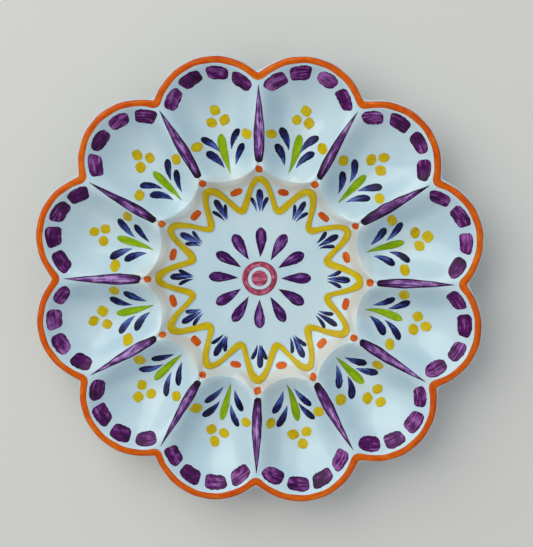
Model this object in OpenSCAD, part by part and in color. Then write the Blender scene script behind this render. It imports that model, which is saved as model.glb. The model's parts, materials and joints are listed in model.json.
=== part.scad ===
// Deviled egg platter: a scalloped plate of tin-glazed earthenware, with a ring of egg wells
// round a shallow dish, a foot ring luted on underneath, and coloured glazes painted on top.
// Millimetres, +Z up. The origin is on the table, under the middle of the platter.

/* [Overall] */
// Diameter of the circle through the lobe tips
platter_d = 310; // [290:1:330]
// Height of the rim above the table, at the lobe tips
platter_h = 34; // [30:0.5:40]
// Number of egg wells, and of lobes along the rim
well_count = 12; // [11:1:13]

/* [Rim] */
// Radius of each lobe of the outline
lobe_r = 42.5; // [41:0.5:45]
// How softly two lobes run into each other in the notch between them
cusp_round = 2; // [1:0.25:3]
// Radius of the rounded outer edge
edge_r = 3; // [2.5:0.1:3.5]
// Width of the flat top of the rim
lip_w = 5.5; // [4.5:0.25:7]

/* [Wells] */
// Height of the well floors above the table, at their inner ends
well_h = 12; // [10:0.5:13]
// Height that a well floor gains on its way out to the rim
well_rise = 2.5; // [1:0.25:3]
// Radius of the round inner end of each well
well_end_r = 26; // [25:0.5:29]
// Distance from a ridge to where its slope has run out on the well floor
side_run = 16; // [14:0.5:19]
// Distance from the rim to where its slope has run out on the well floor
outer_run = 44; // [38:1:48]
// Distance from the crest to where its slope has run out on the well floor
inner_run = 19; // [16:0.5:22]
// Softness of the ridges between the wells
ridge_round = 3.5; // [2.5:0.25:4.5]
// Softness of the edges where the wells meet the rim and the crest
crest_round = 1.5; // [1:0.25:2.5]

/* [Dish] */
// Radius of the flat floor of the dish in the middle
floor_r = 45; // [42:1:48]
// Radius of the crest round the dish, where the wells begin
crest_r = 66; // [64:0.5:69]
// Height of that crest above the table, at the inner end of a well
crest_h = 19; // [17.5:0.5:20.5]
// Height of the ridges above the table where they begin, between two wells
ridge_start_h = 26.5; // [25:0.5:28]

/* [Clay] */
// Thickness of the clay under the dish and the wells
wall_t = 6; // [5:0.25:7]
// Middle radius of the foot ring
foot_r = 62; // [56:0.5:64]
// Width of the foot ring where it stands on the table
foot_w = 6; // [4:0.25:8]
// Height of the foot ring
foot_h = 6; // [4.5:0.25:7]
// How far each side of the foot ring spreads towards its top
foot_flare = 1; // [0.5:0.1:1.5]
// Bevel on the two lower edges of the foot ring
foot_bevel = 0.8; // [0.4:0.1:1.2]

/* [Glazes] */
// Thickness of a coloured glaze
glaze_t = 0.5; // [0.4:0.05:0.7]
// Hair gap between the clay and a coloured glaze
glaze_gap = 0.45; // [0.35:0.05:0.5]

/* [Rim painting] */
// Bare white edge outside the rim band
band_inset = 1; // [0.6:0.1:1.6]
// Width of the rim band
band_w = 4; // [3:0.1:5]
// Bare strip between the rim band and the dashes
dash_inset = 2; // [1.5:0.1:3]
// Length of a rim dash
dash_l = 15.2; // [12:0.1:16]
// Width of a rim dash
dash_w = 9.2; // [6:0.1:10]
// Space between one rim dash and the next
dash_space = 3; // [2:0.1:4]
// Number of dashes in a lobe
dash_count = 4; // [3:1:4]

/* [Ridge painting] */
// Width of a ridge stripe at its widest
stripe_w = 6.8; // [4.5:0.1:8]
// Bare piece of ridge before each end of a stripe
stripe_inset = 1.8; // [1:0.1:3]

/* [Sprigs in the wells] */
// Distance from the crest to where a sprig begins
sprig_inset = 9; // [8:0.5:11]
// Length of the stem
stem_l = 27; // [22:0.5:29]
// Width of the stem at its widest
stem_w = 4.6; // [3:0.1:5]
// Length of a leaf
leaf_l = 16; // [12:0.5:18]
// Width of a leaf at its widest
leaf_w = 5; // [3.5:0.1:5.5]
// Bend of a leaf, sideways
leaf_bend = 1.2; // [0.5:0.1:2]
// Angle between a leaf and the stem
leaf_angle = 36; // [30:1:40]
// Bare space between the stem and the foot of a leaf
leaf_gap = 1.2; // [0.8:0.1:2]
// Diameter of a berry
berry_d = 6.8; // [5:0.1:7.4]
// Bare space between one berry of a cluster and the next
berry_gap = 2; // [1:0.1:3]
// Distance from the end of the stem to the middles of the first two berries
berry_rise = 9; // [7.5:0.25:11]

/* [Garland round the dish] */
// Distance from the crest in to the middle of the wavy vine
vine_inset = 7.5; // [6:0.25:9]
// Reach of each wave of the vine to either side
vine_reach = 10.5; // [9.5:0.25:11.5]
// Width of the vine
vine_w = 3.6; // [3:0.1:4.2]
// Bare space between the vine and the buds in its waves
bud_gap = 5; // [4:0.25:6]
// Length of a bud
bud_l = 16; // [13:0.25:17]
// Width of the middle stroke of a bud
bud_w = 4.4; // [3:0.1:5]
// Width of the side strokes of a bud
bud_side_w = 2.8; // [2:0.1:3.2]
// Length of an orange dot
dot_l = 8; // [6:0.1:9]
// Width of an orange dot
dot_w = 4.6; // [3.5:0.1:5.5]

/* [Rosette] */
// Radius of the rosette
rosette_r = 35; // [31:0.5:37]
// Number of its petals
petal_count = 12; // [8:1:12]
// Width of a petal at its widest
petal_w = 7.6; // [6:0.1:8]
// Radius of the round spot in the middle
spot_r = 12; // [10:0.25:12.5]
// Radius of the disc inside that spot
spot_disc_r = 5.5; // [4:0.25:6.5]
// Bare ring between the disc and the band round it
spot_gap = 2.5; // [1.5:0.1:3]
// Bare space between the spot and the petals
petal_inset = 3; // [2:0.1:4]

/* [Hidden] */

// Half of the angle that one well takes
half_angle = 180 / well_count;
// Height of the dish floor above the table
floor_h = foot_h + wall_t;
// Radius at which the centres of the lobes lie
lobe_c = platter_d / 2 - lobe_r;
// Centre of the round inner end of a well
well_c = crest_r + well_end_r;
// Middle radius of the wavy vine
vine_r = crest_r - vine_inset;
// Half of a ridge's notch in the outline, as an angle
cusp_angle = cusp_round / lobe_c * 180 / PI;
// Radius of the flat seat under the dish, which takes the foot ring and a bevel's width more
seat_r = foot_r + foot_w / 2 + foot_flare + foot_bevel;
// Share of the wall by which the hollows on the underside are wider than the wells
under_grow_share = 0.6;
// Share of a well end's radius at which its round end is taken as over
round_end_share = 0.96;
// Distance over which the underside leaves the flat seat
seat_run = well_end_r / 2;
// Step for measuring a slope
slope_step = glaze_t / 10;
// How far a cutting solid runs past what it cuts
overrun = glaze_t;

// Places of the body's spokes across half a well, from its middle to the ridge
spoke_shares = [0, 0.2, 0.4, 0.58, 0.74, 0.88, 1];
// Places of the body's rings from the dish floor to the crest, from there to the rim, and back from
// the rim to the seat
dish_ring_shares = [0, 0.22, 0.42, 0.6, 0.76, 0.9, 0.96];
well_ring_shares = [0, 0.02, 0.045, 0.08, 0.12, 0.17, 0.23, 0.31, 0.39, 0.46, 0.52, 0.58, 0.64, 0.7,
    0.76, 0.82, 0.87, 0.915, 0.95, 0.98, 1];
under_ring_shares = [1, 0.92, 0.8, 0.66, 0.5, 0.35, 0.22, 0.1, 0];
// Directions round the outer edge, from its top to its underside
edge_angles = [0, 40, 90, 140, 180];

// Widths along a brush stroke, from the tip where the brush leaves to the end where it lands
drop_shares = [0.1, 0.66, 1, 0.94, 0.38];
stripe_shares = [0.4, 0.86, 0.98, 1, 0.92, 0.78, 0.57, 0.32, 0.08];
dash_shares = [0.72, 0.98, 1, 0.96, 0.7];
petal_shares = [0.16, 0.5, 0.86, 1, 0.9, 0.4];
// Places of the leaves' feet along the stem
leaf_place_shares = [0.16, 0.56];
// Place of the outer berries along the stem, and beside it as a share of half the well's width
side_berry_share = 0.84;
side_berry_out_share = 0.69;
// Length and spread of a bud's side strokes, as shares of the middle stroke
bud_side_share = 0.62;
bud_spread_share = 0.36;
// Facets of a dot's outline
dot_sides = 7;
// Steps of the vine in one wave
vine_steps = 12;

// Angle from the middle of the nearest lobe
function folded(a) = let (m = a / half_angle / 2 - 0.5) abs(m - round(m)) * 2 * half_angle;

// The same angle, with the notch between two lobes rounded
function eased_fold(f) = half_angle - sqrt(pow(half_angle - f, 2) + pow(cusp_angle, 2));

// Radius of the outline at a folded angle, drawn a given distance inside the edge
function reach(f, inset) =
    let (e = eased_fold(f))
    lobe_c * cos(e) + sqrt(pow(lobe_r - inset, 2) - pow(lobe_c * sin(e), 2));

// Distance inside the edge of a point at radius r and folded angle f
function rim_gap(r, f) =
    let (e = eased_fold(f))
    lobe_r - norm([max(r * cos(e) - lobe_c, 0), r * sin(e)]);

// Radius of the crest at a folded angle, where the well begins
function crest_reach(f) =
    well_c * cos(f) - sqrt(max(pow(well_end_r, 2) - pow(well_c * sin(f), 2), 0));

// Smooth step from 0 to 1
function smooth(t) = let (c = min(max(t, 0), 1)) c * c * (3 - 2 * c);

// A distance that eases into zero and never goes below it
function eased(d) = d > crest_round ? d : pow(max(d + crest_round, 0), 2) / crest_round / 4;

// How far a slope has come down, from 0 at its top to 1 where it has run out
function fallen(d, run) = 1 - pow(1 - min(max(d / run, 0), 1), 2);

// Distance from the nearest ridge, which has a rounded top
function ridge_gap(r, f) = norm([r * sin(half_angle - f), ridge_round]) - ridge_round;

// Distance over which the side slopes run out: less near the crest, where they meet in mid-well
function side_reach(r) = max(min(side_run, ridge_gap(r, 0)), ridge_round);

// Share of the full well depth at a point, for a well that is wider by grow
function well_share(r, f, grow) =
    let (
        y = min(r * sin(f), round_end_share * well_end_r),
        inner = r * cos(f) - well_c + sqrt(well_end_r * well_end_r - y * y),
        outer = rim_gap(r, f) - lip_w
    )
    fallen(ridge_gap(r, f) + grow, side_reach(r)) * fallen(eased(outer + grow), outer_run)
        * fallen(eased(inner + grow), inner_run);

// Height of the dish, which curves up from its flat floor
function dish_h(r) =
    floor_h + pow(max(r - floor_r, 0) / (crest_r - floor_r), 2) * (crest_h - floor_h);

// Radius at which a ridge begins, on the crest
ridge_start_r = crest_reach(half_angle);

// Height of the ridges and crests, without the wells: the dish, and then the straight ridges
function ridge_h(r) =
    let (
        rise = (platter_h - ridge_start_h) / (platter_d / 2 - edge_r - ridge_start_r),
        line = ridge_start_h + rise * (r - ridge_start_r)
    )
    (dish_h(r) + line - norm([dish_h(r) - line, crest_round])) / 2;

// Drop of the rounded outer edge at a distance inside it
function edge_drop(gap) =
    let (g = min(max(edge_r - gap, 0), edge_r))
    edge_r - sqrt(edge_r * edge_r - g * g);

// Depth of a well's floor below the ridges beside it
function well_depth(r) = ridge_h(r) - well_h - well_rise * (r - crest_r) / (platter_d / 2 - crest_r);

// Height of the upper surface
function top_h(r, f) = ridge_h(r) - well_share(r, f, 0) * well_depth(r) - edge_drop(rim_gap(r, f));

// Height of the underside
function under_h(r, f) =
    let (
        share = well_share(r, f, wall_t * under_grow_share),
        free = ridge_h(r) - wall_t - share * well_depth(r)
    )
    foot_h + smooth((r - seat_r) / seat_run) * (free - foot_h);

// A point of the plan, lifted square off the upper surface by a height
function height_at(x, y) = top_h(norm([x, y]), folded(atan2(y, x)));
function lifted(p, height) =
    let (
        z = height_at(p[0], p[1]),
        gx = (height_at(p[0] + slope_step, p[1]) - z) / slope_step,
        gy = (height_at(p[0], p[1] + slope_step) - z) / slope_step
    )
    [p[0], p[1], z] + [-gx, -gy, 1] / norm([gx, gy, 1]) * height;

// A point of the plan, turned about the origin
function turned(p, a) = [p[0] * cos(a) - p[1] * sin(a), p[0] * sin(a) + p[1] * cos(a)];

// The point at radius r and angle a
function polar(r, a) = [r * cos(a), r * sin(a)];

// Angles of the middles of the wells, and of the ridges between them
well_angles = [for (k = [0:well_count - 1]) (2 * k + 1) * half_angle];
ridge_angles = [for (k = [0:well_count - 1]) 2 * k * half_angle];

// Middle radius of the rim dashes in their lobe
dash_arc_r = lobe_r - band_inset - band_w - dash_inset - dash_w / 2;

// Faces between rings of points that close on themselves; each ring has count points
function ring_faces(rings, count, first) = [
    for (i = [first:first + rings - 2], j = [0:count - 1])
        let (a = i * count + j, b = i * count + (j + 1) % count)
        each [[a, b + count, a + count], [a, b, b + count]]
];

module platter_body() {
    signed = concat([for (i = [len(spoke_shares) - 1:-1:1]) -spoke_shares[i]],
        [for (i = [0:len(spoke_shares) - 2]) spoke_shares[i]]);
    spokes = [for (a = well_angles, s = signed) [a + s * half_angle, abs(s) * half_angle]];
    dish = [
        for (t = dish_ring_shares, s = spokes)
            let (r = floor_r + t * (crest_reach(s[1]) - floor_r))
            concat(polar(r, s[0]), top_h(r, s[1]))
    ];
    wells = [
        for (t = well_ring_shares, s = spokes)
            let (r = crest_reach(s[1]) + t * (reach(s[1], edge_r) - crest_reach(s[1])))
            concat(polar(r, s[0]), top_h(r, s[1]))
    ];
    edge = [
        for (a = [for (i = [1:len(edge_angles) - 1]) edge_angles[i]], s = spokes)
            let (
                r = reach(s[1], edge_r * (1 - sin(a))),
                crown = top_h(reach(s[1], edge_r), s[1])
            )
            concat(polar(r, s[0]), crown - edge_r * (1 - cos(a)))
    ];
    under = [
        for (t = [for (i = [1:len(under_ring_shares) - 1]) under_ring_shares[i]], s = spokes)
            let (r = seat_r + t * (reach(s[1], edge_r) - seat_r))
            concat(polar(r, s[0]), under_h(r, s[1]))
    ];
    points = concat(dish, wells, edge, under);
    count = len(spokes);
    rings = len(points) / count;
    color("#EEF1F0")
        polyhedron(
            points = points,
            faces = concat(ring_faces(rings, count, 0),
                [[for (j = [count - 1:-1:0]) j]],
                [[for (j = [0:count - 1]) (rings - 1) * count + j]]),
            convexity = 8);
}

module foot_ring() {
    inner = foot_r - foot_w / 2;
    outer = foot_r + foot_w / 2;
    color("#D8B79A")
        rotate_extrude($fn = 144)
            polygon([
                [inner + foot_bevel, 0],
                [outer - foot_bevel, 0],
                [outer, foot_bevel],
                [outer + foot_flare, foot_h],
                [inner - foot_flare, foot_h],
                [inner, foot_bevel]
            ]);
}

// A closed strip of glaze between two rings of plan points
module glaze_ring(inner, outer, across) {
    count = len(inner);
    low = glaze_gap;
    high = glaze_gap + glaze_t;
    levels = concat(
        [for (j = [0:across]) [j / across, high]],
        [for (j = [across:-1:0]) [j / across, low]]);
    points = [
        for (v = levels, i = [0:count - 1])
            lifted(inner[i] + (outer[i] - inner[i]) * v[0], v[1])
    ];
    rows = len(levels);
    faces = [
        for (i = [0:rows - 1], j = [0:count - 1])
            let (
                a = i * count + j,
                b = i * count + (j + 1) % count,
                c = (i + 1) % rows * count + (j + 1) % count,
                d = (i + 1) % rows * count + j
            )
            each [[a, c, d], [a, b, c]]
    ];
    polyhedron(points = points, faces = faces, convexity = 6);
}

// The middle line of a brush stroke, as points with a width, from one plan point to another
function spine(start, finish, width, bend, shares) =
    let (last = len(shares) - 1, way = finish - start, side = [-way[1], way[0]] / norm(way))
    [
        for (i = [0:last])
            let (t = i / last)
            concat(start + way * t + side * bend * 4 * t * (1 - t), shares[i] * width)
    ];

// The shell of one stroke laid on the platter: rows of points across its spine, low then high
function stroke_points(line, across) = [
    for (height = [glaze_gap, glaze_gap + glaze_t], i = [0:len(line) - 1])
        let (
            p = line[i],
            before = line[max(i - 1, 0)],
            after = line[min(i + 1, len(line) - 1)],
            way = [after[0] - before[0], after[1] - before[1]],
            side = [-way[1], way[0]] / norm(way)
        )
        for (j = [0:across]) lifted([p[0], p[1]] + side * p[2] * (j / across - 0.5), height)
];

// Faces of such a shell, which has rows of across + 1 points
function stroke_faces(rows, across) =
    let (
        wide = across + 1,
        top = rows * wide,
        around = concat(
            [for (j = [0:across - 1]) j],
            [for (i = [0:rows - 2]) i * wide + across],
            [for (j = [across:-1:1]) (rows - 1) * wide + j],
            [for (i = [rows - 1:-1:1]) i * wide])
    )
    concat(
        [
            for (i = [0:rows - 2], j = [0:across - 1])
                let (a = i * wide + j, b = a + 1, c = a + wide, d = c + 1)
                each [[a, d, b], [a, c, d], [a + top, b + top, d + top], [a + top, d + top, c + top]]
        ],
        [
            for (k = [0:len(around) - 1])
                let (a = around[k], b = around[(k + 1) % len(around)])
                each [[a, b + top, a + top], [a, b, b + top]]
        ]);

// Strokes with spines of equal lengths, as separate closed shells
module glaze_strokes(lines, across) {
    rows = len(lines[0]);
    size = 2 * rows * (across + 1);
    base = stroke_faces(rows, across);
    polyhedron(
        points = [for (line = lines) each stroke_points(line, across)],
        faces = [for (k = [0:len(lines) - 1], f = base) [for (v = f) v + k * size]],
        convexity = 6);
}

// Round and oval dots, each given as its middle, its two diameters and its turn
module glaze_dots(dots) {
    size = 2 * dot_sides + 2;
    base = [
        for (j = [0:dot_sides - 1])
            let (a = j, b = (j + 1) % dot_sides, c = a + dot_sides, d = b + dot_sides)
            each [
                [a, b, 2 * dot_sides],
                [d, c, 2 * dot_sides + 1],
                [a, c, d],
                [a, d, b]
            ]
    ];
    polyhedron(
        points = [
            for (d = dots)
                each concat(
                    [
                        for (height = [glaze_gap, glaze_gap + glaze_t], j = [0:dot_sides - 1])
                            let (
                                a = 360 * j / dot_sides,
                                rim = [cos(a) * d[1] / 2, sin(a) * d[2] / 2]
                            )
                            lifted(d[0] + turned(rim, d[3]), height)
                    ],
                    [lifted(d[0], glaze_gap), lifted(d[0], glaze_gap + glaze_t)])
        ],
        faces = [for (k = [0:len(dots) - 1], f = base) [for (v = f) v + k * size]],
        convexity = 6);
}

// A spine turned to its well or ridge
function turned_spine(line, a) = [for (p = line) concat(turned([p[0], p[1]], a), p[2])];

module rim_band() {
    signed = concat([for (i = [len(spoke_shares) - 1:-1:1]) -spoke_shares[i]],
        [for (i = [0:len(spoke_shares) - 2]) spoke_shares[i]]);
    spokes = [for (a = well_angles, s = signed) [a + s * half_angle, abs(s) * half_angle]];
    color("#E4650B")
        glaze_ring(
            [for (s = spokes) polar(reach(s[1], band_inset + band_w), s[0])],
            [for (s = spokes) polar(reach(s[1], band_inset), s[0])],
            2);
}

module rim_dashes() {
    pitch = (dash_l + dash_space) / dash_arc_r * 180 / PI;
    sweep = dash_l / dash_arc_r * 180 / PI;
    last = len(dash_shares) - 1;
    lines = [
        for (a = well_angles, k = [0:dash_count - 1])
            turned_spine([
                for (i = [0:last])
                    let (turn = (k - (dash_count - 1) / 2) * pitch + (i / last - 0.5) * sweep)
                    concat([lobe_c, 0] + polar(dash_arc_r, turn), dash_w * dash_shares[i])
            ], a)
    ];
    color("#55206A") glaze_strokes(lines, 2);
}

module ridge_stripes() {
    start = ridge_start_r + stripe_inset;
    finish = reach(half_angle, band_inset + band_w + stripe_inset);
    line = spine([start, 0], [finish, 0], stripe_w, 0, stripe_shares);
    color("#6A2F80") glaze_strokes([for (a = ridge_angles) turned_spine(line, a)], 2);
}

module well_stems() {
    start = crest_r + sprig_inset;
    line = spine([start, 0], [start + stem_l, 0], stem_w, 0, drop_shares);
    color("#8DB600") glaze_strokes([for (a = well_angles) turned_spine(line, a)], 1);
}

module well_leaves() {
    lines = [
        for (a = well_angles, place = leaf_place_shares, side = [-1, 1])
            let (
                foot = [
                    crest_r + sprig_inset + place * stem_l,
                    side * (stem_w / 2 + leaf_gap)
                ],
                tip = foot + polar(leaf_l, side * leaf_angle)
            )
            turned_spine(spine(foot, tip, leaf_w, -side * leaf_bend, drop_shares), a)
    ];
    color("#2B2F7E") glaze_strokes(lines, 1);
}

module well_berries() {
    apart = (berry_d + berry_gap) / 2;
    first = crest_r + sprig_inset + stem_l + berry_rise;
    beside = crest_r + sprig_inset + side_berry_share * stem_l;
    out = side_berry_out_share * beside * sin(half_angle);
    places = [
        [first, apart],
        [first, -apart],
        [first + apart * sqrt(3), 0],
        [beside, out],
        [beside, -out]
    ];
    color("#D9B800")
        glaze_dots([for (a = well_angles, p = places) [turned(p, a), berry_d, berry_d, a]]);
}

module wavy_vine() {
    count = well_count * vine_steps;
    step = 360 / count;
    middle = [
        for (i = [0:count])
            polar(vine_r + vine_reach * cos(i * step * well_count), i * step)
    ];
    sides = [
        for (i = [0:count - 1])
            let (way = middle[i + 1] - middle[(i + count - 1) % count])
            [way[1], -way[0]] / norm(way) * vine_w / 2
    ];
    color("#DDB500")
        glaze_ring(
            [for (i = [0:count - 1]) middle[i] - sides[i]],
            [for (i = [0:count - 1]) middle[i] + sides[i]],
            1);
}

module bud_strokes() {
    tip = vine_r + vine_reach - vine_w / 2 - bud_gap;
    foot = tip - bud_l;
    side_tip = foot + bud_l * bud_side_share;
    side_out = bud_l * bud_spread_share;
    side_foot = (bud_w + bud_side_w) / 2;
    base = concat(
        [spine([foot, 0], [tip, 0], bud_w, 0, drop_shares)],
        [
            for (side = [-1, 1])
                spine([foot, side * side_foot / 2], [side_tip, side * side_out], bud_side_w,
                    -side * bud_side_w / 4, drop_shares)
        ]);
    color("#3A3F92") glaze_strokes([for (a = ridge_angles, line = base) turned_spine(line, a)], 1);
}

module orange_dots() {
    low = crest_r - dot_w;
    high = (vine_r + vine_reach + vine_w / 2 + ridge_start_r + stripe_inset) / 2;
    color("#E4650B")
        glaze_dots(concat(
            [for (a = well_angles) [polar(low, a), dot_w, dot_l, a]],
            [for (a = ridge_angles) [polar(high, a), dot_w, dot_w, a]]));
}

module rosette_petals() {
    line = spine([spot_r + petal_inset, 0], [rosette_r, 0], petal_w, 0, petal_shares);
    color("#5A2272")
        glaze_strokes([for (k = [0:petal_count - 1]) turned_spine(line, 360 * k / petal_count)], 1);
}

module rosette_spot() {
    color("#B0506E")
        translate([0, 0, floor_h + glaze_gap]) {
            cylinder(r = spot_disc_r, h = glaze_t, $fn = 64);
            difference() {
                cylinder(r = spot_r, h = glaze_t, $fn = 96);
                translate([0, 0, -overrun])
                    cylinder(r = spot_disc_r + spot_gap, h = glaze_t + 2 * overrun, $fn = 96);
            }
        }
}

platter_body();
foot_ring();
rim_band();
rim_dashes();
ridge_stripes();
well_stems();
well_leaves();
well_berries();
wavy_vine();
bud_strokes();
orange_dots();
rosette_petals();
rosette_spot();
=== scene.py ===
"""Deviled egg platter: a scalloped plate of white tin-glazed earthenware with brushed glaze painting."""
import json
import math

import bpy
import numpy as np
from mathutils import Matrix, Vector

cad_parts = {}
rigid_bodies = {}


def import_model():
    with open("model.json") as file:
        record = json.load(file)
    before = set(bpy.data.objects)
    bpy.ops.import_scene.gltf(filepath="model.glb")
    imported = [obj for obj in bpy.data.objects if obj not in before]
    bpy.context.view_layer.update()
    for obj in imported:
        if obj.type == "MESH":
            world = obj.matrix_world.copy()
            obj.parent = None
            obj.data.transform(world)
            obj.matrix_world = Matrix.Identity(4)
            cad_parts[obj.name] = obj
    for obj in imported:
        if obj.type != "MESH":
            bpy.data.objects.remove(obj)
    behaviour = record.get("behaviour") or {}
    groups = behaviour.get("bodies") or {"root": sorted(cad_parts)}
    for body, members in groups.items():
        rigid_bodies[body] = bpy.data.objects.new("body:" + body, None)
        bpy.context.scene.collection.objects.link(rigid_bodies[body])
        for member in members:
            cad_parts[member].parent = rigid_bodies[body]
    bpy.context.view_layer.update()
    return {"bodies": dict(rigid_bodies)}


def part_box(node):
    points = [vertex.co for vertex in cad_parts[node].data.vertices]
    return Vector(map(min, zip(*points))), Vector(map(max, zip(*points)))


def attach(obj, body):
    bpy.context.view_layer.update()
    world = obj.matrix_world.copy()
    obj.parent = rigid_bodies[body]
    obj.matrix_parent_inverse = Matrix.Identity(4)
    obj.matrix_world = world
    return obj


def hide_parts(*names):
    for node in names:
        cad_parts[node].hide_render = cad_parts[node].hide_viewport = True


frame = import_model()

MM = 0.001
BODY = next(iter(frame["bodies"]))

# Clay, as in the construction
body_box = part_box("platter_body")
foot_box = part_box("foot_ring")
RIM_H = body_box[1].z
FOOT_H = foot_box[1].z
WELLS = 12
HALF = math.pi / WELLS
PLATTER_R = 155 * MM
LOBE_R = 42.5 * MM
CUSP_ROUND = 2 * MM
EDGE_R = 3 * MM
LIP_W = 5.5 * MM
WELL_H = 12 * MM
WELL_RISE = 2.5 * MM
WELL_END_R = 26 * MM
SIDE_RUN = 16 * MM
OUTER_RUN = 44 * MM
INNER_RUN = 19 * MM
RIDGE_ROUND = 3.5 * MM
CREST_ROUND = 1.5 * MM
FLOOR_R = 45 * MM
CREST_R = 66 * MM
CREST_H = 19 * MM
RIDGE_START_H = 26.5 * MM
WALL = 6 * MM
LIP_OUT = 4.2 * MM
LIP_BACK = 1.9 * MM
LIP_RISE = 2.3 * MM
LIP_INNER_RUN = 5 * MM
LIP_OUTER_RUN = 16 * MM
FLOOR_H = FOOT_H + WALL
LOBE_C = PLATTER_R - LOBE_R
WELL_C = CREST_R + WELL_END_R
CUSP_ANGLE = CUSP_ROUND / LOBE_C
FOOT_BEVEL = 0.8 * MM
SEAT_R = foot_box[1].x + FOOT_BEVEL
SEAT_RUN = WELL_END_R / 2
UNDER_GROW = 0.6 * WALL
ROUND_END_SHARE = 0.96

# Painting, as in the construction
BAND_INSET = 0.75 * MM
BAND_W = 4.4 * MM
DASH_INSET = 1.9 * MM
DASH_L = 14.4 * MM
DASH_W = 9 * MM
DASH_SPACE = 3.8 * MM
DASHES = 4
STRIPE_W = 7.2 * MM
STRIPE_INSET = 1.8 * MM
SPRIG_R = CREST_R + 9 * MM
STEM_L = 27 * MM
STEM_W = 5.5 * MM
LEAF_L = 16 * MM
LEAF_W = 5 * MM
LEAF_BEND = 1.2 * MM
LEAF_ANGLE = math.radians(36)
LEAF_GAP = 1.2 * MM
LEAF_PLACES = (0.16, 0.56)
BERRY_D = 6.8 * MM
BERRY_GAP = 2 * MM
BERRY_RISE = 9 * MM
SIDE_BERRY_SHARE = 0.84
SIDE_BERRY_OUT_SHARE = 0.69
VINE_R = CREST_R - 7.5 * MM
VINE_REACH = 10.5 * MM
VINE_W = 4 * MM
BUD_GAP = 5 * MM
BUD_L = 16 * MM
BUD_W = 4.4 * MM
BUD_SIDE_W = 2.8 * MM
BUD_SIDE_SHARE = 0.62
BUD_SPREAD_SHARE = 0.36
DOT_L = 8 * MM
DOT_W = 4.6 * MM
ROSETTE_R = 35 * MM
PETALS = 12
PETAL_W = 7.6 * MM
SPOT_R = 12 * MM
SPOT_DISC_R = 5.5 * MM
SPOT_GAP = 2.5 * MM
PETAL_INSET = 3 * MM

# How a glaze stroke lies on the white glaze: its lift, its dome and the distance over which that rises,
# its thickness, the length that is darker where the full brush landed, and how much less its ends pool
EDGE_LIFT = 0.13 * MM
DOME = 0.12 * MM
DOME_RUN = 1.6 * MM
STROKE_T = 0.5 * MM
LANDING_RUN = 4 * MM
END_SPARED = 0.25 * MM

# How far the ends of a stroke close, or stay open: none shrinks to a point
TIP_CLOSED = 0.98
DAB_CLOSED = 0.985
FOOT_OPEN = 0.002

# How much of the clay shows through the white glaze at each place, what is taken off that everywhere,
# and where the places that follow the lip of the crest start and end, counted outwards from it. The
# slope past the lip is a more neutral grey, as painted shade, and the floors of the wells lighter, as
# painted light
THIN_BAND = 0.55
PAINTED_SHADE_PAST_LIP = 0.28
PAINTED_LIGHT_ON_FLOORS = 0.3
THIN_RIDGES = 0.12
THIN_UNDER = 0.5
THICK_EVERYWHERE = 0.25
BAND_START = -10 * MM
BAND_START_RUN = 4.5 * MM
BAND_END = -1.2 * MM
BAND_END_RUN = 1.4 * MM
SLOPE_RUN = 14 * MM

# The body's mesh: spokes to a lobe, and rings on the floor of the dish, its wall, the wells, the edge,
# the underside and the seat. Then the gap at which points merge, and the fold that still shades smooth
LOBE_SPOKES = 38
RINGS = (12, 36, 100, 8, 40, 6)
WELD = 0.005 * MM
SMOOTH_FOLD = math.radians(50)

# The foot ring: its width, and how far in and up its rounded corners pass
FOOT_W = 8 * MM
FOOT_ROUND = ((0.7 * MM, 2 * MM), (1.2 * MM, 0.8 * MM), (1.8 * MM, 0.2 * MM), (2.6 * MM, 0.0))

# The same hand each time
rng = np.random.default_rng(12)


# The form of the plate

def folded(angle):
    """Angle from the middle of the nearest lobe."""
    turns = angle / HALF / 2 - 0.5
    return np.abs(turns - np.round(turns)) * 2 * HALF


def eased_fold(fold):
    """The same angle, eased where two lobes meet, which rounds the notch."""
    return HALF - np.sqrt((HALF - fold) ** 2 + CUSP_ANGLE ** 2)


def reach(fold, inset):
    """Radius of the outline, drawn a given distance inside the edge."""
    eased = eased_fold(fold)
    return LOBE_C * np.cos(eased) + np.sqrt((LOBE_R - inset) ** 2 - (LOBE_C * np.sin(eased)) ** 2)


def rim_gap(radius, fold):
    """Distance inside the edge."""
    eased = eased_fold(fold)
    return LOBE_R - np.hypot(np.maximum(radius * np.cos(eased) - LOBE_C, 0), radius * np.sin(eased))


def smooth(share):
    """A share that starts and ends gently."""
    share = np.clip(share, 0, 1)
    return share * share * (3 - 2 * share)


def eased_in(distance):
    """Distance past an edge, with a rounded start."""
    soft = np.maximum(distance + CREST_ROUND, 0) ** 2 / CREST_ROUND / 4
    return np.where(distance > CREST_ROUND, distance, soft)


def fallen(distance, run):
    """Share of the way down a slope that is steep at first and flat at its end."""
    return 1 - (1 - np.clip(distance / run, 0, 1)) ** 2


def ridge_gap(radius, fold):
    """Distance from the nearest ridge, which has a rounded top."""
    return np.hypot(radius * np.sin(HALF - fold), RIDGE_ROUND) - RIDGE_ROUND


def side_reach(radius):
    """Distance over which the side slopes run out: less near the crest, where they meet in mid-well."""
    return np.maximum(np.minimum(SIDE_RUN, ridge_gap(radius, 0.0)), RIDGE_ROUND)


def well_share(radius, fold, grow=0.0):
    """Share of the full depth of a well."""
    across = np.minimum(radius * np.sin(fold), ROUND_END_SHARE * WELL_END_R)
    inner = radius * np.cos(fold) - WELL_C + np.sqrt(WELL_END_R ** 2 - across ** 2)
    outer = rim_gap(radius, fold) - LIP_W
    return (fallen(ridge_gap(radius, fold) + grow, side_reach(radius))
            * fallen(eased_in(outer + grow), OUTER_RUN) * fallen(eased_in(inner + grow), INNER_RUN))


def crest_reach(fold):
    """Radius of the crest, where a well begins."""
    return WELL_C * np.cos(fold) - np.sqrt(WELL_END_R ** 2 - (WELL_C * np.sin(fold)) ** 2)


def lip_reach(fold):
    """Radius of the sharp lip that the crest carries."""
    return crest_reach(fold) + LIP_OUT - LIP_BACK * (fold / HALF) ** 2


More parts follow.
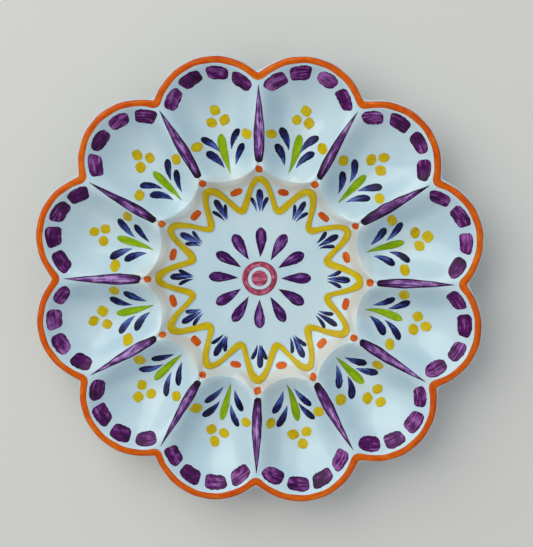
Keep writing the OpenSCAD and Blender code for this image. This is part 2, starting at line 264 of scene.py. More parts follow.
def lip_rise(radius, fold):
    """How far the lip stands above the plain crest; it dies away where two wells meet at a ridge."""
    past = radius - lip_reach(fold)
    inner = np.clip(1 + np.minimum(past, 0) / LIP_INNER_RUN, 0, 1) ** 1.2
    outer = np.clip(1 - np.maximum(past, 0) / LIP_OUTER_RUN, 0, 1) ** 2
    return LIP_RISE * inner * outer * (1 - (fold / HALF) ** 8)


def dish_height(radius):
    """The dish: a flat floor, and a wall that curves up to the crest."""
    return FLOOR_H + (np.maximum(radius - FLOOR_R, 0) / (CREST_R - FLOOR_R)) ** 2 * (CREST_H - FLOOR_H)


RIDGE_START_R = float(crest_reach(HALF))


def ridge_height(radius):
    """Height of the ridges and crests, without the wells: the dish, and then the straight ridges."""
    rise = (RIM_H - RIDGE_START_H) / (PLATTER_R - EDGE_R - RIDGE_START_R)
    line = RIDGE_START_H + rise * (radius - RIDGE_START_R)
    dish = dish_height(radius)
    return (dish + line - np.hypot(dish - line, CREST_ROUND)) / 2


def well_depth(radius):
    """Depth of a well's floor below the ridges beside it."""
    return ridge_height(radius) - WELL_H - WELL_RISE * (radius - CREST_R) / (PLATTER_R - CREST_R)


def top_height(radius, fold):
    """Height of the top: ridges and dish, less the wells, with the lip, and rounded at the rim."""
    over = np.clip(EDGE_R - rim_gap(radius, fold), 0, EDGE_R)
    turn_down = EDGE_R - np.sqrt(EDGE_R ** 2 - over ** 2)
    well = well_share(radius, fold) * well_depth(radius)
    return ridge_height(radius) - well + lip_rise(radius, fold) - turn_down


def under_height(radius, fold):
    """Height of the underside: it follows the top a wall's thickness lower, and ends in a flat seat."""
    free = ridge_height(radius) - WALL - well_share(radius, fold, UNDER_GROW) * well_depth(radius)
    return FOOT_H + smooth((radius - SEAT_R) / SEAT_RUN) * (free - FOOT_H)


def on_top(x, y):
    return top_height(np.hypot(x, y), folded(np.arctan2(y, x)))


# Slow swells of a plate that was pressed over a mould and trimmed by hand
SWELLS = 9
SWELL_LENGTHS = (34 * MM, 110 * MM)
SWELL_PUSH = np.array([0.08, 0.08, 0.06]) * MM
SHRINK = 0.998
swell_ways = rng.uniform(0, 2 * math.pi, SWELLS)
swell_lengths = rng.uniform(*SWELL_LENGTHS, SWELLS)
swell_phases = rng.uniform(0, 2 * math.pi, (SWELLS, 3))
swell_pushes = rng.uniform(-1, 1, (SWELLS, 3)) * SWELL_PUSH


def by_hand(points):
    """Moves points as the plate's own unevenness does, and leaves its foot flat on the table."""
    moved = points * np.array([SHRINK, SHRINK, 1])
    free = smooth((points[:, 2] - FOOT_H) / WALL)
    for way, length, phases, push in zip(swell_ways, swell_lengths, swell_phases, swell_pushes):
        along = points[:, 0] * math.cos(way) + points[:, 1] * math.sin(way)
        for axis in range(3):
            moved[:, axis] += free * push[axis] * np.sin(along / length * 2 * math.pi + phases[axis])
    return moved


# Work on meshes

def alone(obj):
    """Makes obj the only selected and active object."""
    bpy.ops.object.select_all(action="DESELECT")
    obj.select_set(True)
    bpy.context.view_layer.objects.active = obj


def sheet_of(name, along, across):
    """A flat primitive with a number of cells along and across, to be laid on the plate."""
    bpy.ops.object.select_all(action="DESELECT")
    bpy.ops.mesh.primitive_grid_add(x_subdivisions=along, y_subdivisions=across, size=1)
    made = bpy.context.object
    made.name = name
    made.data.name = name
    return made


def shares_of(obj):
    """Each vertex's place in the flat primitive, from 0 to 1 both ways."""
    points = np.empty(len(obj.data.vertices) * 3)
    obj.data.vertices.foreach_get("co", points)
    return points.reshape(-1, 3)[:, 0] + 0.5, points.reshape(-1, 3)[:, 1] + 0.5


def place(obj, points):
    obj.data.vertices.foreach_set("co", np.ascontiguousarray(points, dtype=np.float32).ravel())
    obj.data.update()


def note(obj, name, values):
    """Keeps one number for each vertex, for the finish to read."""
    kept = obj.data.attributes.get(name) or obj.data.attributes.new(name, "FLOAT", "POINT")
    kept.data.foreach_set("value", np.broadcast_to(values, len(obj.data.vertices)).astype(np.float32))


def note_brush(obj, along, across):
    """Keeps the distances along and across a stroke, in metres, as its UV map."""
    corners = np.empty(len(obj.data.loops), dtype=np.int32)
    obj.data.loops.foreach_get("vertex_index", corners)
    flat = np.stack([along[corners], across[corners]], axis=1).astype(np.float32)
    obj.data.uv_layers[0].data.foreach_set("uv", flat.ravel())


def close_seams(obj):
    alone(obj)
    bpy.ops.object.mode_set(mode="EDIT")
    bpy.ops.mesh.select_all(action="SELECT")
    bpy.ops.mesh.remove_doubles(threshold=WELD)
    bpy.ops.mesh.normals_make_consistent(inside=False)
    bpy.ops.object.mode_set(mode="OBJECT")


def thicken(obj, thickness):
    """Gives a laid sheet its thickness, downwards into the white glaze."""
    alone(obj)
    bpy.ops.object.modifier_add(type="SOLIDIFY")
    wall = obj.modifiers[-1]
    wall.thickness = thickness
    wall.offset = -1
    wall.use_even_offset = False
    bpy.ops.object.modifier_apply(modifier=wall.name)


def joined(name, parts):
    alone(parts[0])
    for part in parts:
        part.select_set(True)
    bpy.ops.object.join()
    parts[0].name = name
    parts[0].data.name = name
    return parts[0]


def settled(obj, slot, material, *nodes):
    """Gives a finished piece its shading, material, body and place in the construction."""
    alone(obj)
    bpy.ops.object.shade_smooth_by_angle(angle=SMOOTH_FOLD)
    obj.data.materials.clear()
    obj.data.materials.append(material)
    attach(obj, BODY)
    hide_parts(*nodes)
    return obj


# Brush strokes

def stray(most):
    """How far the hand strays, this much either way at most."""
    return rng.uniform(-most, most)


def vary(value, share):
    """A value that strays by this share of itself at most."""
    return value * (1 + stray(share))


def small(angle):
    """A small angle, this many degrees either way at most."""
    return math.radians(stray(angle))


def width_share(share, belly, landing, foot_power, tip_power, cap):
    """Width of a stroke from where it lands to where the brush leaves, as shares of its widest. belly is
    where it is widest, landing how much narrower it lands, the powers how fast it swells and tapers,
    and cap the part of its length over which its foot is rounded."""
    foot = 1 - landing * np.clip((belly - share) / belly, 0, 1) ** foot_power
    tip = 1 - TIP_CLOSED * np.clip((share - belly) / (1 - belly), 0, 1) ** tip_power
    rounding = np.sqrt(np.clip(1 - (1 - np.clip(share / cap, 0, 1)) ** 2, FOOT_OPEN, 1))
    return foot * tip * rounding


def wobble(share, strength):
    """A slow unsteadiness along a stroke, new at each call."""
    waves = 3
    steps = rng.uniform(1.5, 5.5, waves)
    phases = rng.uniform(0, 2 * math.pi, waves)
    swings = np.sin(share[:, None] * steps * 2 * math.pi + phases).sum(axis=1)
    return strength / waves * swings


class Brush:
    """Paints strokes of one kind: copies a flat sheet and lays each copy on the plate."""

    def __init__(self, name, along, across):
        self.name = name
        self.sheet = sheet_of(name + "_sheet", along, across)
        self.strokes = []

    def stroke(self, middle, width, widths, unsteady=0.05, slant=0.0, drift=0.0, loaded=0.0):
        """middle(share) gives x and y along the stroke, widths(share) its width as shares of width.
        unsteady is how far its edges stray, slant sets its ends askew, drift is how much lighter it
        grows along its way, and loaded how much darker it is where the full brush landed."""
        made = self.sheet.copy()
        made.data = self.sheet.data.copy()
        bpy.context.collection.objects.link(made)
        along, across = shares_of(self.sheet)
        # More rows near both ends, and more lines near both edges, where a stroke turns
        along = 0.5 - 0.5 * np.cos(math.pi * along) * (0.6 + 0.4 * np.abs(np.cos(math.pi * along)))
        side = np.sin((across - 0.5) * math.pi)
        step = 0.002
        x, y = middle(along)
        x1, y1 = middle(along + step)
        x0, y0 = middle(along - step)
        length = np.hypot(x1 - x0, y1 - y0)
        normal_x, normal_y = -(y1 - y0) / length, (x1 - x0) / length
        half = width / 2 * widths(along)
        left = half * (1 + wobble(along, unsteady))
        right = half * (1 + wobble(along, unsteady))
        out = np.where(side > 0, left, right) * side
        askew = slant * out
        points_x = x + normal_x * out + normal_y * askew
        points_y = y + normal_y * out - normal_x * askew
        edge = np.where(side > 0, left, right) * (1 - np.abs(side))
        whole = float(np.mean(length)) / (2 * step)
        ends = np.minimum(along, 1 - along) * whole
        bulge = smooth(np.minimum(edge, ends) / DOME_RUN)
        lift = EDGE_LIFT + DOME * bulge
        points = np.stack([points_x, points_y, on_top(points_x, points_y) + lift], axis=1)
        place(made, by_hand(points))
        shift = rng.uniform(0, 1, 2)
        note_brush(made, along * whole + shift[0], out + shift[1])
        note(made, "edge", np.minimum(edge, ends + END_SPARED) / MM)
        note(made, "along", along)
        landed = np.exp(-(along * whole / LANDING_RUN) ** 2)
        note(made, "tone", stray(1) + drift * (along - 0.5) - loaded * landed)
        self.strokes.append(made)

    def done(self, slot, material):
        whole = joined(self.name, self.strokes)
        bpy.data.objects.remove(self.sheet)
        thicken(whole, STROKE_T)
        return settled(whole, slot, material, self.name)


def line(start, finish, bend=0.0):
    """A middle line from start to finish, bent sideways by a distance."""
    start, finish = np.array(start), np.array(finish)
    way = finish - start
    side = np.array([-way[1], way[0]]) / np.hypot(*way)

    def middle(share):
        sag = bend * 4 * share * (1 - share)
        return start[0] + way[0] * share + side[0] * sag, start[1] + way[1] * share + side[1] * sag
    return middle


def turned(middle, angle):
    """The same middle line, turned about the middle of the plate."""
    c, s = math.cos(angle), math.sin(angle)

    def moved(share):
        x, y = middle(share)
        return x * c - y * s, x * s + y * c
    return moved


def dab(power):
    """A short dab with blunt, rounded ends."""
    def widths(share):
        place_on = np.abs(2 * share - 1) * DAB_CLOSED
        return (1 - place_on ** power) ** (1 / power)
    return widths


def drop(share):
    """Lands thin and leaves fat and round, as a drop drawn outwards."""
    back = 1 - share
    return width_share(back, belly=0.3, landing=0.25, foot_power=1.6, tip_power=1.5, cap=0.16)


# Finishes

# Where a Mix node has its two colours and its mixed colour
MIX_A, MIX_B, MIX_OUT = 6, 7, 2


def linear(hex_colour):
    """An sRGB hex colour as the linear values that a shader takes."""
    parts = [int(hex_colour[i:i + 2], 16) / 255 for i in (1, 3, 5)]
    return tuple(p / 12.92 if p <= 0.04045 else ((p + 0.055) / 1.055) ** 2.4 for p in parts) + (1.0,)


def add(tree, kind, values=None, **settings):
    """Adds one node with its settings, its values and its links."""
    made = tree.nodes.new(kind)
    for name, setting in settings.items():
        if name == "stops":
            ramp = made.color_ramp.elements
            while len(ramp) < len(setting):
                ramp.new(0.5)
            for stop, (position, colour) in zip(ramp, setting):
                stop.position = position
                stop.color = linear(colour)
        else:
            setattr(made, name, setting)
    for name, value in (values or {}).items():
        if isinstance(value, bpy.types.NodeSocket):
            tree.links.new(value, made.inputs[name])
        else:
            made.inputs[name].default_value = value
    return made


def new_material(name):
    made = bpy.data.materials.new(name)
    made.use_nodes = True
    made.node_tree.nodes.clear()
    return made, made.node_tree


def per(size):
    """Scale of a pattern whose marks are this size, on coordinates in metres."""
    return 1 / size


# The white; a bluer, darker white for pooled glaze and for painted shade on the sides of the wells; and
# a warm grey where thin glaze shows the clay
WHITE = "#CEE4EB"
POOLED_AND_SHADED_WHITE = "#BBD6E4"
WHITE_THIN = "#CFD0C8"
SPECKLESS_CELLS = 0.86
SPECK_STRENGTH = 0.45


def white_glaze():
    """Opaque white tin glaze over a buff clay: glassy, bluer in clouds where it lies thick, and warmer
    where it ran thin and the clay shows through, as on the crest. It is also bluer and darker on the
    sides of the wells, as painted shade, lighter on their floors, as painted light, and a more neutral
    grey past the lip, as painted shade."""
    material, tree = new_material("white_tin_glaze")
    where = add(tree, "ShaderNodeTexCoord").outputs["Object"]
    thin = add(tree, "ShaderNodeAttribute", attribute_name="thin").outputs["Fac"]
    cloud = add(tree, "ShaderNodeTexNoise", {"Vector": where, "Scale": per(30 * MM), "Detail": 2.0})
    thinned = add(tree, "ShaderNodeMath", {0: cloud.outputs["Fac"], 1: thin}, operation="ADD")
    # Low values give the bluer, darker white: in clouds as pooled glaze, and on the sides of the wells
    # as painted shade
    colour = add(tree, "ShaderNodeValToRGB", {"Fac": thinned.outputs[0]},
                 stops=[(0.12, POOLED_AND_SHADED_WHITE), (0.55, WHITE), (0.92, WHITE_THIN)])
    # Iron specks from the clay, a few to a hand's width
    cells = add(tree, "ShaderNodeTexVoronoi", {"Vector": where, "Scale": per(7 * MM)})
    chosen = add(tree, "ShaderNodeSeparateColor", {"Color": cells.outputs["Color"]})
    rare = add(tree, "ShaderNodeMath", {0: chosen.outputs["Red"], 1: SPECKLESS_CELLS},
               operation="GREATER_THAN")
    core = add(tree, "ShaderNodeMapRange", {
        "Value": cells.outputs["Distance"], "From Min": 0.035, "From Max": 0.07,
        "To Min": SPECK_STRENGTH, "To Max": 0.0})
    speck = add(tree, "ShaderNodeMath", {0: core.outputs["Result"], 1: rare.outputs[0]},
                operation="MULTIPLY")
    specked = add(tree, "ShaderNodeMix", {
        0: speck.outputs[0], MIX_A: colour.outputs["Color"], MIX_B: linear("#8F7A6A")}, data_type="RGBA")
    # The fired surface rolls gently, with a finer orange peel over it
    roll = add(tree, "ShaderNodeTexNoise", {"Vector": where, "Scale": per(16 * MM), "Detail": 1.5})
    peel = add(tree, "ShaderNodeTexNoise", {"Vector": where, "Scale": per(2.6 * MM), "Detail": 1.0})
    swell = add(tree, "ShaderNodeBump", {
        "Strength": 0.35, "Distance": 0.6 * MM, "Height": roll.outputs["Fac"]})
    skin = add(tree, "ShaderNodeBump", {
        "Strength": 0.12, "Distance": 0.1 * MM, "Height": peel.outputs["Fac"],
        "Normal": swell.outputs["Normal"]})
    gloss = add(tree, "ShaderNodeMapRange", {
        "Value": cloud.outputs["Fac"], "To Min": 0.15, "To Max": 0.24})
    shader = add(tree, "ShaderNodeBsdfPrincipled", {
        "Base Color": specked.outputs[MIX_OUT], "Roughness": gloss.outputs["Result"], "IOR": 1.5,
        "Normal": skin.outputs["Normal"]})
    add(tree, "ShaderNodeOutputMaterial", {"Surface": shader.outputs[0]})
    return material


# How much lighter or darker than the rest a single stroke may be
TONE_WEIGHT = 0.14


def brushed_glaze(name, dark, middle, light, pool=0.9, pooling=0.36, heart_and_sheen=0.0, streaks=1.3, clouds=1.1,
                  dry=0.25, tip=0.0):
    """A coloured glaze, brushed on the unfired white: glassy, with hair streaks from the brush, a dark
    line where it pooled at the edge, and the white showing where the brush ran dry.
    pool is the width of that dark line in millimetres and pooling how dark it is, heart how much lighter
    the middle is, streaks and clouds how strong the brush's hairs and the puddles show, dry how much
    white shows through, and tip how much lighter the stroke is where the brush leaves."""
    material, tree = new_material(name)
    along = add(tree, "ShaderNodeAttribute", attribute_name="along").outputs["Fac"]
    edge = add(tree, "ShaderNodeAttribute", attribute_name="edge").outputs["Fac"]
    tone = add(tree, "ShaderNodeAttribute", attribute_name="tone").outputs["Fac"]
    brush = add(tree, "ShaderNodeUVMap", uv_map="UVMap").outputs["UV"]
    hair = add(tree, "ShaderNodeMapping", {
        "Vector": brush, "Scale": (per(13 * MM), per(1.1 * MM), 1)})
    hairs = add(tree, "ShaderNodeTexNoise", {"Vector": hair.outputs[0], "Scale": 1.0, "Detail": 3.0})
    puddle = add(tree, "ShaderNodeMapping", {
        "Vector": brush, "Scale": (per(6 * MM), per(3.2 * MM), 1)})
    puddles = add(tree, "ShaderNodeTexNoise", {"Vector": puddle.outputs[0], "Scale": 1.0, "Detail": 2.0})
    pooled = add(tree, "ShaderNodeMapRange", {
        "Value": edge, "From Min": 0.0, "From Max": pool, "To Min": -pooling, "To Max": 0.0},
        interpolation_type="SMOOTHSTEP")
    # A lighter middle: the glaze's own, and on the ridge stripes also a painted sheen along the top of
    # the ridge
    hearted = add(tree, "ShaderNodeMapRange", {
        "Value": edge, "From Min": pool, "From Max": pool * 3, "To Min": 0.0, "To Max": heart_and_sheen},
        interpolation_type="SMOOTHSTEP")
    # How light the glaze is, summed up from all that thins it or heaps it
    level = 0.5 - (streaks + clouds + tip) / 2
    for thing, weight in ((hairs.outputs["Fac"], streaks), (puddles.outputs["Fac"], clouds),
                          (tone, TONE_WEIGHT), (along, tip), (pooled.outputs["Result"], 1.0),
                          (hearted.outputs["Result"], 1.0)):
        summed = add(tree, "ShaderNodeMath", {0: thing, 1: weight, 2: level}, operation="MULTIPLY_ADD")
        level = summed.outputs[0]
    colour = add(tree, "ShaderNodeValToRGB", {"Fac": level},
                 stops=[(0.12, dark), (0.5, middle), (0.92, light)])
    bare = add(tree, "ShaderNodeMapRange", {
        "Value": hairs.outputs["Fac"], "From Min": 0.62, "From Max": 0.8, "To Min": 0.0, "To Max": dry})
    thinned = add(tree, "ShaderNodeMix", {
        0: bare.outputs["Result"], MIX_A: colour.outputs["Color"], MIX_B: linear(WHITE)},
        data_type="RGBA")
    skin = add(tree, "ShaderNodeBump", {
        "Strength": 0.15, "Distance": 0.1 * MM, "Height": hairs.outputs["Fac"]})
    gloss = add(tree, "ShaderNodeMapRange", {
        "Value": puddles.outputs["Fac"], "To Min": 0.2, "To Max": 0.32})
    shader = add(tree, "ShaderNodeBsdfPrincipled", {
        "Base Color": thinned.outputs[MIX_OUT], "Roughness": gloss.outputs["Result"], "IOR": 1.25,
        "Normal": skin.outputs["Normal"]})
    add(tree, "ShaderNodeOutputMaterial", {"Surface": shader.outputs[0]})
    return material


def bare_clay():
    """Unglazed buff earthenware, wiped clean at the foot: matt, sandy, and a little dirty from use."""
    material, tree = new_material("unglazed_earthenware")
    where = add(tree, "ShaderNodeTexCoord").outputs["Object"]
    grit = add(tree, "ShaderNodeTexNoise", {"Vector": where, "Scale": per(1.2 * MM), "Detail": 4.0})
    stain = add(tree, "ShaderNodeTexNoise", {"Vector": where, "Scale": per(17 * MM), "Detail": 3.0})
    both = add(tree, "ShaderNodeMath", {0: grit.outputs["Fac"], 1: 0.4, 2: stain.outputs["Fac"]},
               operation="MULTIPLY_ADD")
    colour = add(tree, "ShaderNodeValToRGB", {"Fac": both.outputs[0]},
                 stops=[(0.45, "#A9714F"), (0.7, "#C9936E"), (0.95, "#DDB494")])
    tooth = add(tree, "ShaderNodeBump", {
        "Strength": 0.5, "Distance": 0.15 * MM, "Height": grit.outputs["Fac"]})
    shader = add(tree, "ShaderNodeBsdfPrincipled", {
        "Base Color": colour.outputs["Color"], "Roughness": 0.82, "IOR": 1.5,
        "Normal": tooth.outputs["Normal"]})
    add(tree, "ShaderNodeOutputMaterial", {"Surface": shader.outputs[0]})
    return material


# Pieces

def platter_body():
    """The pressed clay body with its white glaze: rings from the middle of the dish over the rim and
    back underneath to the middle."""
    counts = np.cumsum(RINGS)
    body = sheet_of("platter_body", LOBE_SPOKES * WELLS, int(counts[-1]))
    around, along = shares_of(body)
    ring = np.round(along * counts[-1])
    # Spokes crowd towards the ridges, where the form turns fastest
    well = np.floor(around * WELLS - 1e-9).clip(0)
    inside = (around * WELLS - well) * 2 - 1
    crowded = 0.55 * inside + 0.45 * np.sin(inside * math.pi / 2)
    angle = (2 * well + 1 + crowded) * HALF
    fold = np.abs(crowded) * HALF
    lip_r = lip_reach(fold)
    crown_r = reach(fold, EDGE_R)

    def part(number):
        first = counts[number - 1] if number else 0
        return np.clip((ring - first) / (counts[number] - first), 0, 1)
    # Dish floor, dish wall and wells, with rings that crowd towards the sharp lip of the crest
    radius = FLOOR_R * part(0) + (lip_r - FLOOR_R) * (1 - (1 - part(1)) ** 1.5)
    radius += (crown_r - lip_r) * part(2) ** 1.4
    height = top_height(radius, fold)
    on_edge = ring > counts[2]
    turn = part(3) * math.pi
    edge_r = reach(fold, EDGE_R * (1 - np.sin(turn)))
    radius = np.where(on_edge, edge_r, radius)
    height = np.where(on_edge, top_height(crown_r, fold) - EDGE_R * (1 - np.cos(turn)), height)
    below = ring > counts[3]
    radius = np.where(below, crown_r + part(4) * (SEAT_R - crown_r), radius)
    height = np.where(below, under_height(radius, fold), height)
    seat = ring > counts[4]
    radius = np.where(seat, SEAT_R * (1 - part(5)), radius)
    height = np.where(seat, FOOT_H, height)
    points = np.stack([radius * np.cos(angle), radius * np.sin(angle), height], axis=1)
    place(body, by_hand(points))
    # The glaze is thinnest in a band before the lip, where the clay shows through, and a little thin on
    # the ridges and in the dish. The slope past the lip is painted a more neutral grey as shade, the
    # floors of the wells are painted lighter as light, and the sides of the wells keep the bluest,
    # darkest white as painted shade
    deep = well_share(radius, fold)
    past = radius - lip_r
    begun = smooth((past - BAND_START) / BAND_START_RUN)
    beyond = smooth((past - BAND_END) / BAND_END_RUN)
    thin = THIN_BAND * begun * (1 - beyond) + PAINTED_SHADE_PAST_LIP * beyond * (1 - smooth(past / SLOPE_RUN))
    thin += PAINTED_LIGHT_ON_FLOORS * deep ** 5 + THIN_RIDGES * (1 - deep) ** 2
    note(body, "thin", np.where(below, THIN_UNDER, thin) - THICK_EVERYWHERE)
    close_seams(body)
    return settled(body, "white_glaze", white_glaze(), "platter_body")


def foot_ring():
    """The foot ring, turned on a wheel: a circle drawn out ring by ring along its profile."""
    inner, outer = foot_box[1].x - FOOT_W, foot_box[1].x
    stand = foot_box[0].z
    profile = [(inner, FOOT_H)]
    profile += [(inner + inwards, stand + rise) for inwards, rise in FOOT_ROUND]
    profile += [(outer - inwards, stand + rise) for inwards, rise in reversed(FOOT_ROUND)]
    profile += [(outer, FOOT_H)]
    bpy.ops.object.select_all(action="DESELECT")
    bpy.ops.mesh.primitive_circle_add(vertices=192, radius=profile[0][0], location=(0, 0, profile[0][1]))
    foot = bpy.context.object
    foot.name = foot.data.name = "foot_ring"
    bpy.ops.object.transform_apply(location=True)
    bpy.ops.object.mode_set(mode="EDIT")
    bpy.ops.mesh.select_all(action="SELECT")
    for (r0, z0), (r1, z1) in zip(profile, profile[1:] + profile[:1]):
        bpy.ops.mesh.extrude_region_move(TRANSFORM_OT_translate={"value": (0, 0, z1 - z0)})
        bpy.ops.transform.resize(value=(r1 / r0, r1 / r0, 1), center_override=(0, 0, 0))
    bpy.ops.object.mode_set(mode="OBJECT")
    close_seams(foot)
    return settled(foot, "bare_clay", bare_clay(), "foot_ring")


def well_angles():
    """The ways from the middle of the plate to the middles of its lobes."""
    return [(2 * k + 1) * HALF for k in range(WELLS)]


def ridge_angles():
    """The ways from the middle of the plate along its ridges."""
    return [2 * k * HALF for k in range(WELLS)]


def closed_line(name, cells, across, middle, width, unsteady):
    """A brush line that runs round the plate and meets itself. middle(angle) is its radius, width(angle)
    gives its half widths inwards and outwards, and unsteady is how far its edges stray."""
    strip = sheet_of(name, cells, across)
    around, over = shares_of(strip)
    angle = around * 2 * math.pi
    side = np.sin((over - 0.5) * math.pi)
    step = 0.0005
    radius = middle(angle)
    x, y = radius * np.cos(angle), radius * np.sin(angle)
    ahead, behind = middle(angle + step), middle(angle - step)
    way_x = ahead * np.cos(angle + step) - behind * np.cos(angle - step)
    way_y = ahead * np.sin(angle + step) - behind * np.sin(angle - step)
    length = np.hypot(way_x, way_y)
    out_x, out_y = way_y / length, -way_x / length
    inwards, outwards = width(angle)
    half = np.where(side > 0, outwards, inwards)
    for _ in range(3):
        turns = np.round(rng.uniform(9, 70))
        phase = rng.uniform(0, 2 * math.pi, 2)
        half = half * (1 + unsteady * np.where(side > 0, np.sin(angle * turns + phase[0]),
                                               np.sin(angle * turns + phase[1])))
    points_x = x + out_x * half * side
    points_y = y + out_y * half * side
    edge = half * (1 - np.abs(side))
    lift = EDGE_LIFT + DOME * smooth(edge / DOME_RUN)
    points = np.stack([points_x, points_y, on_top(points_x, points_y) + lift], axis=1)
    place(strip, by_hand(points))
    note_brush(strip, around * float(length.mean()) / (2 * step) * 2 * math.pi, half * side)
    note(strip, "edge", edge / MM)
    note(strip, "along", 0.5)
    # Lighter as the brush empties, and darker where it was filled again
    note(strip, "tone", 0.4 * np.sin(angle * 5 + 1) + 0.4 * np.sin(angle * 13))
    close_seams(strip)
    thicken(strip, STROKE_T)
    return strip


def rim_band(material):
    """The band along the rim. The brush turns at each notch and leaves more glaze there."""
    notch_run = math.radians(1.6)
    notch_gain = 0.35

    def middle(angle):
        return reach(folded(angle), BAND_INSET + BAND_W / 2)

    def width(angle):
        notch = np.exp(-((HALF - folded(angle)) / notch_run) ** 2)
        return BAND_W / 2 * (1 + notch_gain * notch), BAND_W / 2 * np.ones_like(angle)
    band = closed_line("rim_band", 64 * WELLS, 8, middle, width, unsteady=0.03)
    return settled(band, "orange_glaze", material, "rim_band")


def rim_dashes(material):
    """Short blunt dabs inside the band, in a row round each lobe."""
    brush = Brush("rim_dashes", 18, 10)
    arc_r = LOBE_R - BAND_INSET - BAND_W - DASH_INSET - DASH_W / 2
    pitch = (DASH_L + DASH_SPACE) / arc_r
    for well in well_angles():
        for k in range(DASHES):
            sweep = vary(DASH_L, 0.06) / arc_r
            start = (k - (DASHES - 1) / 2) * pitch - sweep / 2 + stray(0.02)
            lean = stray(1.2) * MM

            def middle(share, start=start, sweep=sweep, lean=lean):
                angle = start + sweep * share
                radius = arc_r + lean * (share - 0.5)
                return LOBE_C + radius * np.cos(angle), radius * np.sin(angle)
            blunt = dab(rng.uniform(2.5, 4.2))
            taper = stray(0.22)

            def widths(share, blunt=blunt, taper=taper):
                return blunt(share) * (1 + taper * (share - 0.5))
            brush.stroke(turned(middle, well), vary(DASH_W, 0.07), widths, unsteady=0.06,
                         slant=stray(0.22), drift=rng.choice((-1, 1)) * rng.uniform(0.6, 2.2))
    return brush.done("purple_glaze", material)


def ridge_stripes(material):
    """One stroke along each ridge: it lands heavy at the crest and runs out thin towards the rim."""
    brush = Brush("ridge_stripes", 56, 12)
    start = RIDGE_START_R + STRIPE_INSET
    finish = float(reach(HALF, BAND_INSET + BAND_W + STRIPE_INSET))
    for ridge in ridge_angles():
        belly = rng.uniform(0.26, 0.42)
        tip_power = rng.uniform(1.15, 1.5)

        def widths(share, belly=belly, tip_power=tip_power):
            return width_share(share, belly, landing=0.4, foot_power=1.8, tip_power=tip_power, cap=0.03)
        middle = line((start, stray(0.4) * MM), (finish, stray(0.3) * MM), stray(0.7) * MM)
        brush.stroke(turned(middle, ridge), vary(STRIPE_W, 0.09), widths, unsteady=0.06,
                     slant=stray(0.3), drift=1.6, loaded=3)
    return brush.done("purple_glaze", material)


def well_stems(material):
    """A stem in each well, thin at its foot and fat at its tip."""
    brush = Brush("well_stems", 30, 8)
    for well in well_angles():
        length = vary(STEM_L, 0.04)
        middle = line((SPRIG_R, stray(0.6) * MM), (SPRIG_R + length, stray(1) * MM), stray(1.4) * MM)
        brush.stroke(turned(middle, well), vary(STEM_W, 0.1), drop, unsteady=0.06)
    return brush.done("green_glaze", material)


def well_leaves(material):
    """Two pairs of leaves beside each stem."""
    brush = Brush("well_leaves", 22, 8)
    for well in well_angles():
        for spot in LEAF_PLACES:
            for side in (-1, 1):
                foot = np.array([SPRIG_R + spot * STEM_L, side * (STEM_W / 2 + LEAF_GAP)])
                aim = side * LEAF_ANGLE + small(3)
                tip = foot + vary(LEAF_L, 0.06) * np.array([math.cos(aim), math.sin(aim)])
                middle = line(foot, tip, -side * vary(LEAF_BEND, 0.4))
                brush.stroke(turned(middle, well), vary(LEAF_W, 0.1), drop, unsteady=0.07)
    return brush.done("blue_glaze", material)


def well_berries(material):
    """Three berries beyond each stem, and one more on either side of it."""
    brush = Brush("well_berries", 14, 8)
    apart = (BERRY_D + BERRY_GAP) / 2
    first = SPRIG_R + STEM_L + BERRY_RISE
    beside = SPRIG_R + SIDE_BERRY_SHARE * STEM_L
    out = SIDE_BERRY_OUT_SHARE * beside * math.sin(HALF)
    spots = [(first, apart), (first, -apart), (first + apart * math.sqrt(3), 0),
             (beside, out), (beside, -out)]
    for well in well_angles():
        for x, y in spots:
            paint_dot(brush, x + stray(0.4) * MM, y + stray(0.4) * MM, well, BERRY_D, BERRY_D)
    return brush.done("yellow_glaze", material)


def paint_dot(brush, x, y, turn, length, width):
    """A dot pressed down with the tip of the brush, never quite round."""
    way = rng.uniform(0, math.pi) if length == width else math.pi / 2 + small(8)
    long = vary(length, 0.08) / 2 * np.array([math.cos(way), math.sin(way)])
    middle = line(np.array([x, y]) - long, np.array([x, y]) + long)
    power = rng.uniform(2.0, 3.1)
    brush.stroke(turned(middle, turn), vary(width, 0.09), dab(power), unsteady=0.09, slant=stray(0.2))


def wavy_vine(material):
    """A line round the dish that waves out to each ridge and back in before each well."""
    def middle(angle):
        return VINE_R + VINE_REACH * np.cos(angle * WELLS)

    def width(angle):
        swell = 1 + 0.14 * np.cos(angle * WELLS * 2 + 0.7) + 0.08 * np.sin(angle * 7)
        return VINE_W / 2 * swell, VINE_W / 2 * swell
    vine = closed_line("wavy_vine", 60 * WELLS, 6, middle, width, unsteady=0.035)
    return settled(vine, "yellow_glaze", material, "wavy_vine")


def bud_strokes(material):
    """A bud of three strokes inside each outward wave of the vine."""
    brush = Brush("bud_strokes", 20, 8)
    tip = VINE_R + VINE_REACH - VINE_W / 2 - BUD_GAP
    foot = tip - BUD_L
    for ridge in ridge_angles():
        middle = line((foot, 0), (tip + rng.uniform(-0.5, 0.3) * MM, stray(0.5) * MM))
        brush.stroke(turned(middle, ridge + small(0.8)), vary(BUD_W, 0.1), drop, unsteady=0.06)
        for side in (-1, 1):
            low = (foot, side * (BUD_W + BUD_SIDE_W) / 4)
            high = (foot + BUD_SIDE_SHARE * BUD_L, side * BUD_SPREAD_SHARE * BUD_L)
            brush.stroke(turned(line(low, high, -side * BUD_SIDE_W / 4), ridge + small(0.8)),
                         vary(BUD_SIDE_W, 0.1), drop, unsteady=0.06)
    return brush.done("blue_glaze", material)


def orange_dots(material):
    """An oval dot under the crest before each well, and a round one beyond the vine at each ridge."""
    brush = Brush("orange_dots", 14, 8)
    high = (VINE_R + VINE_REACH + VINE_W / 2 + RIDGE_START_R + STRIPE_INSET) / 2
    for well in well_angles():
        paint_dot(brush, CREST_R - DOT_W, stray(0.4) * MM, well, DOT_L, DOT_W)
    for ridge in ridge_angles():
        paint_dot(brush, high, stray(0.2) * MM, ridge, DOT_W, DOT_W)
    return brush.done("orange_glaze", material)


